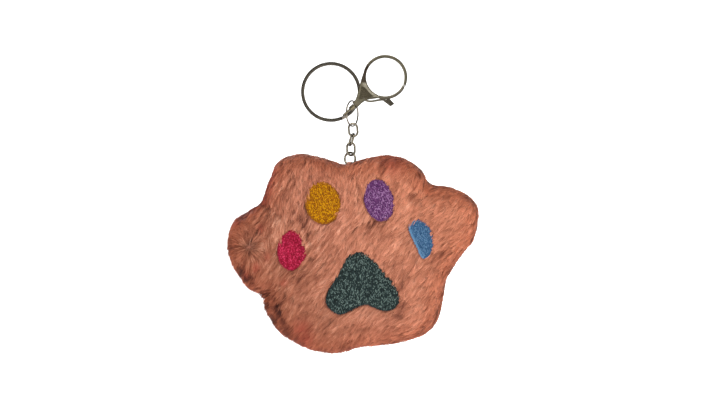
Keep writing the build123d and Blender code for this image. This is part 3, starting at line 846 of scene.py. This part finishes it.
def sample_roots(points, normals, count, generator):
    """Roots spread evenly by area over a half shell."""
    a = points[:-1]
    b = np.roll(points, -1, axis=1)[:-1]
    c = np.roll(points, -1, axis=1)[1:]
    d = points[1:]
    area = (np.linalg.norm(np.cross(b - a, d - a), axis=2)
            + np.linalg.norm(np.cross(b - c, d - c), axis=2)) / 2
    chance = np.cumsum(area.ravel() / area.sum())
    picks = np.searchsorted(chance, (np.arange(count) + generator.random(count)) / count)
    picks = np.minimum(picks, area.size - 1)
    r, k = np.divmod(picks, TURNS)
    following = (k + 1) % TURNS
    s, t = generator.random((2, count, 1))

    def blend(table):
        return ((table[r, k] * (1 - s) + table[r, following] * s) * (1 - t)
                + (table[r + 1, k] * (1 - s) + table[r + 1, following] * s) * t)

    return blend(points), unit(blend(normals))


TUFT_EVERY = 16           # hairs to a tuft
TUFT_WAY = 57             # the way in which tufts are long, degrees above +x
TUFT_STRETCH = 2.6        # how much longer they are that way
GATHER = 0.42             # how far the tips of a tuft draw together
HAIR_RISE = 1.25          # how far a hair's tip stands off the cloth


def pile(name, roots, normals, angle_of, colour_of, length, width, keep, generator):
    """Tapered hairs, drawn together into tufts and combed along the face."""
    roots, normals = roots[keep], normals[keep]
    count = len(roots)
    x, z = roots[:, 0], roots[:, 2]
    way = np.radians(angle_of(x, z) + generator.normal(0, 7, count))
    flat = np.stack([np.cos(way), np.zeros(count), np.sin(way)], axis=1)
    lie = flat - normals * (flat * normals).sum(axis=1, keepdims=True)
    lie = unit(lie + 1e-6)
    size = length * (1 + 0.16 * generator.normal(0, 1, count)).clip(0.55, 1.5)
    rise = HAIR_RISE * (1 + 0.18 * generator.normal(0, 1, count)).clip(0.4, 1.7)
    steep = 1 - np.abs(normals[:, 1])
    rise = rise * (1 - 0.45 * steep)
    size = size * (1 - 0.25 * steep)
    beside_ring = room_beside_ring(roots)
    size = size * room_before_pads(roots, lie, size) * beside_ring
    rise = rise * beside_ring
    # tufts
    heads = generator.permutation(count)[:math.ceil(count / TUFT_EVERY)]
    lay = math.radians(TUFT_WAY)
    frame_axes = np.array([[math.cos(lay) / TUFT_STRETCH, 0, math.sin(lay) / TUFT_STRETCH], [0, 1, 0],
                           [-math.sin(lay), 0, math.cos(lay)]])
    stretched = roots @ frame_axes.T
    tree = kdtree.KDTree(len(heads))
    for n, h in enumerate(heads):
        tree.insert(stretched[h], n)
    tree.balance()
    own = np.array([tree.find(p)[1] for p in stretched.tolist()])
    tuft_tone = generator.normal(0, 1, len(heads))
    tuft_rise = (1 + 0.35 * generator.normal(0, 1, len(heads))).clip(0.45, 1.9)
    tuft_turn = generator.normal(0, 0.16, len(heads))
    rise = rise * tuft_rise[own]
    swing = tuft_turn[own][:, None]
    lie = unit(lie + np.cross(normals, lie) * swing)
    steps = 4
    u = np.linspace(0, 1, steps + 1)
    bend = 0.085 * steep ** 0.5 + 0.004
    head_root = roots[heads][own]
    head_tip = (head_root + (lie * size[:, None]))
    points = []
    for s in u:
        p = roots + lie * (size * s)[:, None]
        drop = bend * (size * s) ** 2 / 2
        p = p + normals * (rise * (1 - (1 - s) ** 2.2) - drop)[:, None]
        gather = GATHER * s ** 1.4
        p[:, (0, 2)] = (p[:, (0, 2)] * (1 - gather)
                        + (head_tip * s + head_root * (1 - s))[:, (0, 2)] * gather)
        points.append(p)
    points = np.stack(points, axis=1)
    tangent = unit(np.gradient(points, axis=1))
    roll = generator.normal(0, 0.35, count)
    side = unit(np.cross(tangent, normals[:, None, :]))
    side = unit(side * np.cos(roll)[:, None, None] + normals[:, None, :] * np.sin(roll)[:, None, None])
    thin = width * (1 + 0.2 * generator.normal(0, 1, count)).clip(0.5, 1.6)
    taper = np.array([0.8, 1.0, 0.86, 0.58, 0.12])
    half = side * (thin[:, None] * taper[None, :])[..., None] / 2
    verts = np.stack([points - half, points + half], axis=2).reshape(-1, 3)
    base = np.arange(count)[:, None] * (2 * (steps + 1))
    rungs = base + 2 * np.arange(steps)
    faces = np.stack([rungs, rungs + 1, rungs + 3, rungs + 2], axis=2).reshape(-1, 4)
    guard = 0.20 * (generator.random(count) < 0.10)
    # The last term paints higher tufts lighter and lower ones darker, as light and shade.
    tone = (0.105 * tuft_tone[own] + 0.08 * generator.normal(0, 1, count) + guard
            + 0.06 * (tuft_rise[own] - 1))
    # Painted shade: each hair darker at its root, shaded by the pile, and lighter to its tip.
    shade = np.array([0.32, 0.58, 0.90, 1.08, 1.20])
    seen = roots + lie * (0.6 * size)[:, None]
    base_colour = colour_of(seen[:, 0], seen[:, 2], tone)
    # Where a hair's root lies open behind a pad, its painted root shade is lifted.
    behind = roots - lie * 1.8
    open_root = on_grid(pad_mask.astype(float), behind[:, 0], behind[:, 2]) * (roots[:, 1] < 0)
    shade = shade[None, :] * (1 - open_root[:, None]) + 0.92 * open_root[:, None]
    colours = base_colour[:, None, :] * shade[:, :, None]
    obj = new_object(name, verts, faces, fur_material)
    set_colours(obj, np.repeat(colours.reshape(-1, 3), 2, axis=0))
    set_bake_map(obj, verts)
    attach(obj, "paw")
    return obj


pad_mask = np.zeros(gx.shape, bool)
for line in pad_lines.values():
    pad_mask |= inside(line, gx, gz)


def room_before_pads(roots, lie, size):
    """Share of its length that a hair keeps so as not to lie over a pad."""
    keep = np.ones(len(roots))
    for share in (0.95, 0.75, 0.55, 0.38):
        at = roots + lie * (size * share)[:, None]
        covers = (on_grid(pad_mask.astype(float), at[:, 0], at[:, 2]) > 0.5) & (at[:, 1] < 0)
        keep = np.where(covers, share * 0.78, keep)
    return keep


ring_low, ring_high = (np.array(v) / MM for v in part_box("lower_jump_ring"))
RING_SWEEP = (3.5, 8.0)         # from the ring's foot: where the pile is shortest, and where it is full
RING_PILE = 0.25                # share of its length that the shortest keeps


def room_beside_ring(roots):
    """Share of its length that a hair keeps beside the lower ring, which swings over the seam."""
    foot = np.array([(ring_low[0] + ring_high[0]) / 2, 0.0, ring_low[2]])
    return np.interp(np.linalg.norm(roots - foot, axis=1), RING_SWEEP, (RING_PILE, 1.0))


def front_colour(x, z, tone):
    return face_colour(x, z, face_tone(x, z) + contrast(x) * tone)


def back_angle(x, z):
    return 258.0 + 12 * noise2(x, z, 24.0, 31) + 9 * noise2(x, z, 9.0, 32)


def back_colour(x, z, tone):
    """Colour of the pile behind, which meets the front's colour at the seam."""
    streak = 0.14 * noise2(x, z / 4.0, 1.0, 33) + 0.08 * noise2(x, z / 3.0, 2.8, 34)
    base = colour_ramp(np.clip(0.54 + streak + 0.08 * noise2(x, z, 14.0, 35) + tone, 0, 1))
    base = base * np.array([0.86, 0.80, 0.77])
    near_seam = np.exp(-(distance_to(silhouette, x, z) / 7.0) ** 2)[..., None]
    return base * (1 - near_seam) + front_colour(x, z, tone) * near_seam


HAIRS_FRONT = 96000
HAIRS_BACK = 44000
FRONT_HAIR = (5.2, 0.27)        # length and width
BACK_HAIR = (4.8, 0.40)
hair_rng = np.random.default_rng(7)
front_roots, front_root_normals = sample_roots(front_points, front_normals, HAIRS_FRONT, hair_rng)
bald = np.zeros(HAIRS_FRONT, bool)
for line in pad_lines.values():
    middle = line.mean(axis=0)
    wide = line + unit(line - middle) * 0.35
    bald |= inside(wide, front_roots[:, 0], front_roots[:, 2])
order = front_roots[:, 0]
split = np.quantile(order, (1 / 4, 1 / 2, 3 / 4))
zones = np.searchsorted(split, order)
for zone in range(len(split) + 1):
    pile(f"pile_front_{zone + 1}", front_roots, front_root_normals, comb_angle, front_colour,
         *FRONT_HAIR, ~bald & (zones == zone), hair_rng)
back_roots, back_root_normals = sample_roots(back_points, back_normals, HAIRS_BACK, hair_rng)
left_half = back_roots[:, 0] < np.median(back_roots[:, 0])
for number, half in enumerate((left_half, ~left_half)):
    pile(f"pile_back_{number + 1}", back_roots, back_root_normals, back_angle, back_colour,
         *BACK_HAIR, half, hair_rng)

# ---------------------------------------------------------------- sewing


def tube(name, paths, radius, colours, sides=6):
    """Round threads along lists of points in mm, coloured in turn."""
    verts, faces, tones = [], [], []
    start = 0
    for number, path in enumerate(paths):
        p = np.asarray(path, float)
        n = len(p)
        tangent = unit(np.gradient(p, axis=0))
        side = unit(np.cross(tangent, np.array([0.31, 0.87, 0.39])))
        over = np.cross(side, tangent)
        turn = np.linspace(0, 2 * math.pi, sides, endpoint=False)
        girth = np.full(n, radius)
        girth[[0, -1]] *= 0.55
        ring = (side[:, None] * np.cos(turn)[None, :, None]
                + over[:, None] * np.sin(turn)[None, :, None])
        verts.append((p[:, None] + ring * girth[:, None, None]).reshape(-1, 3))
        k = np.arange(sides)
        faces += (ring_quads(n, sides) + start).tolist()
        faces.append((start + k[::-1]).tolist())
        faces.append((start + (n - 1) * sides + k).tolist())
        tones.append(np.tile(colours[number % len(colours)], (n * sides, 1)))
        start += n * sides
    obj = new_object(name, np.concatenate(verts), faces, thread_material)
    set_colours(obj, np.concatenate(tones))
    return obj


rim_lap, rim_length = lap_length(rim_line)


def seam_place(distance, sink=0.0):
    """Point on the seam at a distance along it."""
    at = distance % rim_length[-1]
    x, z = (np.interp(at, rim_length, rim_lap[:, c]) for c in (0, 1))
    ahead = np.array([np.interp(at + 0.5, rim_length, rim_lap[:, c]) for c in (0, 1)]) - (x, z)
    ahead = ahead / max(np.hypot(*ahead), 1e-9)
    return np.array([x + ahead[1] * sink, 0.0, z - ahead[0] * sink])


SEAM_STEP = 2.4                 # from one seam stitch to the next
TAPE_X = (4, 15)                # where the tape comes out of the top seam
TAPE_Z = (-40, -35.7)
CLOSING_X = (-6, 26)            # the turning gap in the bottom edge, closed by hand
CLOSING_TOP = -120

seam_paths, closing_paths = [], []
for place in np.arange(0, rim_length[-1] - 2.2, SEAM_STEP):
    a = seam_place(place, 0.1)
    m = seam_place(place + 0.9, -0.12)
    b = seam_place(place + 1.8, 0.1)
    if TAPE_Z[0] < a[2] < TAPE_Z[1] and TAPE_X[0] < a[0] < TAPE_X[1]:
        continue
    if a[2] < CLOSING_TOP and CLOSING_X[0] < a[0] < CLOSING_X[1]:
        for shift in (0.0, 1.2):
            c = seam_place(place + shift, 0.25)
            d = seam_place(place + shift + 0.5, -0.25)
            closing_paths.append([c + (0, -0.9, 0), d + (0, -0.4, 0), d + (0, 0.4, 0), c + (0, 0.9, 0)])
    else:
        swell = (m - (a + b) / 2) * 0.5
        seam_paths.append([a, (a + m) / 2 + swell, m, (m + b) / 2 + swell, b])
thread_tone = [srgb(142, 78, 60), srgb(156, 88, 70)]
seam = tube("seam_stitches", seam_paths, 0.22, thread_tone)
closing = tube("closing_stitch_threads", closing_paths, 0.2, thread_tone)
for piece, node in ((seam, "seam_thread"), (closing, "closing_stitches")):
    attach(piece, "paw")
    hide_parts(node)

# ribbon over the lower jump ring, its legs going down into the seam
tape_low = np.array(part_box("loop_tape")[0]) / MM
ring_mid = (ring_low + ring_high) / 2
LINK_WIRE = 0.55
LOWER_YAW = math.radians(-34.0)
normal_of_ring = np.array([math.sin(LOWER_YAW), -math.cos(LOWER_YAW), 0.0])
along_wire = np.array([-normal_of_ring[1], normal_of_ring[0], 0.0])
wire_foot = np.array([ring_mid[0], ring_mid[1], ring_low[2] + LINK_WIRE])
BOW = 1.45                      # radius of the tape's bow over the wire
HALF_TAPE = 1.15                # half its width
HALF_LAYER = 0.2                # half its thickness
LEG_TOP = -0.6
leg_foot = tape_low[2] - wire_foot[2] + 0.3
profile = [(-BOW, z) for z in np.linspace(leg_foot, LEG_TOP, 9)]
profile += [(BOW * math.cos(t), BOW * math.sin(t)) for t in np.linspace(math.pi, 0, 15)]
profile += [(BOW, z) for z in np.linspace(LEG_TOP, leg_foot, 9)]
profile = np.array(profile)
tape_verts = []
step = unit(np.gradient(profile, axis=0))
outward = np.stack([-step[:, 1], step[:, 0]], axis=1)
ACROSS = np.linspace(-1, 1, 9)
for layer in (HALF_LAYER, -HALF_LAYER):
    for (px, pz), (ox, oz) in zip(profile, outward):
        for a in ACROSS:
            thick_here = layer * (1 - 0.35 * abs(a) ** 6) + 0.04 * math.cos(a * math.pi * 4)
            tape_verts.append(wire_foot + normal_of_ring * (px + ox * thick_here)
                              + along_wire * (a * HALF_TAPE) + np.array([0, 0, pz + oz * thick_here]))
rows_tape, cols = len(profile), len(ACROSS)
tape_faces = []
for layer in range(2):
    base = layer * rows_tape * cols
    for r in range(rows_tape - 1):
        for c in range(cols - 1):
            q = [base + r * cols + c, base + r * cols + c + 1, base + (r + 1) * cols + c + 1,
                 base + (r + 1) * cols + c]
            tape_faces.append(q if layer == 0 else q[::-1])
other = rows_tape * cols
for r in range(rows_tape - 1):
    for c in (0, cols - 1):
        here, below = r * cols + c, (r + 1) * cols + c
        tape_faces.append([here, below, other + below, other + here])
for r in (0, rows_tape - 1):
    for c in range(cols - 1):
        here = r * cols + c
        tape_faces.append([here, here + 1, other + here + 1, other + here])
ribbon = new_object("hanging_ribbon", tape_verts, tape_faces, weave)
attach(ribbon, "paw")
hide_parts("loop_tape")

tack_low, tack_high = (np.array(v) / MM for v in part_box("loop_bar_tack"))
tack_mid = (tack_low + tack_high) / 2
tack_paths = []
for n in range(7):
    shift = along_wire * (-0.8 + 0.27 * n)
    tack_paths.append([tack_mid + shift - normal_of_ring * 2.2,
                       tack_mid + shift - normal_of_ring * 1.1 + (0, 0, 0.2),
                       tack_mid + shift + normal_of_ring * 1.1 + (0, 0, 0.2),
                       tack_mid + shift + normal_of_ring * 2.2])
tack = tube("bar_tack_threads", tack_paths, 0.14, thread_tone)
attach(tack, "paw")
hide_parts("loop_bar_tack")

# ---------------------------------------------------------------- metal parts from the frame

METAL = {
    "split_ring": (ring_metal, 0.46), "upper_jump_ring": (wire_metal, 0.0),
    "lower_jump_ring": (nickel, 0.0), "chain_link_1": (nickel, 0.0), "chain_link_2": (nickel, 0.0),
    "chain_link_3": (nickel, 0.0), "swivel_eye": (swivel_nickel, 0.0), "clasp_body": (body_nickel, 0.3),
    "clasp_gate": (gate_nickel, 0.22), "gate_pivot_pin": (pin_metal, 0.08), "gate_spring": (pin_metal, 0.0),
}
for name, (metal, bevel) in METAL.items():
    obj = nodes_of_frame[name]
    for slot in obj.material_slots:
        slot.material = metal
    if bevel:
        soften = obj.modifiers.new("worn edges", "BEVEL")
        soften.width = bevel * MM
        soften.segments = 3
        soften.limit_method = "ANGLE"
        soften.angle_limit = math.radians(35)

# ---------------------------------------------------------------- stage, light and camera

AIM = Vector((0.0145, 0.0, -0.05525))
camera = bpy.data.objects.new("camera", bpy.data.cameras.new("camera"))
bpy.context.scene.collection.objects.link(camera)
camera.data.lens = 85
camera.data.sensor_width = 36
camera.data.clip_start = 0.01
camera.location = AIM + Vector((0, -0.85, 0))
camera.rotation_euler = (math.radians(90), 0, 0)
bpy.context.scene.camera = camera

FLOOR = -0.21
SWEEP_START = 1.2               # where the paper begins to curve up
SWEEP_RADIUS = 0.7
sweep = [(-2.4, FLOOR), (SWEEP_START, FLOOR)]
for t in np.linspace(0, math.pi / 2, 24):
    sweep.append((SWEEP_START + SWEEP_RADIUS * math.sin(t), FLOOR + SWEEP_RADIUS * (1 - math.cos(t))))
sweep += [(SWEEP_START + SWEEP_RADIUS, 3.2)]
stage_verts = np.array([(side * 3.0, y, z) for y, z in sweep for side in (-1, 1)]) / MM
stage_faces = [[2 * k, 2 * k + 1, 2 * k + 3, 2 * k + 2] for k in range(len(sweep) - 1)]


def white_paper():
    mat, nodes, links, shader = material("white_paper")
    cloud = noise_node(nodes, links, 3.0)
    stops = ((0.3, (0.88, 0.88, 0.88)), (0.7, (0.92, 0.92, 0.92)))
    painted(nodes, links, shader, cloud.outputs["Fac"], stops, 0.9)
    shader.inputs["Emission Color"].default_value = (1, 1, 1, 1)
    shader.inputs["Emission Strength"].default_value = 0.75
    return mat


stage = new_object("studio_sweep", stage_verts, stage_faces, white_paper())


def area_light(name, place, size, power, colour=(1, 1, 1)):
    data = bpy.data.lights.new(name, "AREA")
    data.shape = "RECTANGLE"
    data.size, data.size_y = size
    data.energy = power
    data.color = colour
    lamp = bpy.data.objects.new(name, data)
    bpy.context.scene.collection.objects.link(lamp)
    lamp.location = place
    lamp.rotation_euler = (AIM - Vector(place)).to_track_quat("-Z", "Y").to_euler()


area_light("key", (0.55, -0.95, 1.0), (0.45, 0.45), 12.0, (1.0, 0.97, 0.93))
area_light("fill", (-0.9, -0.9, 0.2), (0.8, 0.8), 4.0, (1.0, 0.98, 0.96))
area_light("back", (-0.5, 0.9, 0.8), (0.6, 0.6), 10.0)
area_light("right_edge", (0.9, 0.4, -0.1), (0.4, 0.7), 4.0)

world = bpy.data.worlds.new("studio")
bpy.context.scene.world = world
world.use_nodes = True
world.node_tree.nodes["Background"].inputs["Color"].default_value = (1.0, 0.985, 0.96, 1)
world.node_tree.nodes["Background"].inputs["Strength"].default_value = 0.52
bpy.context.scene.view_settings.view_transform = "Standard"
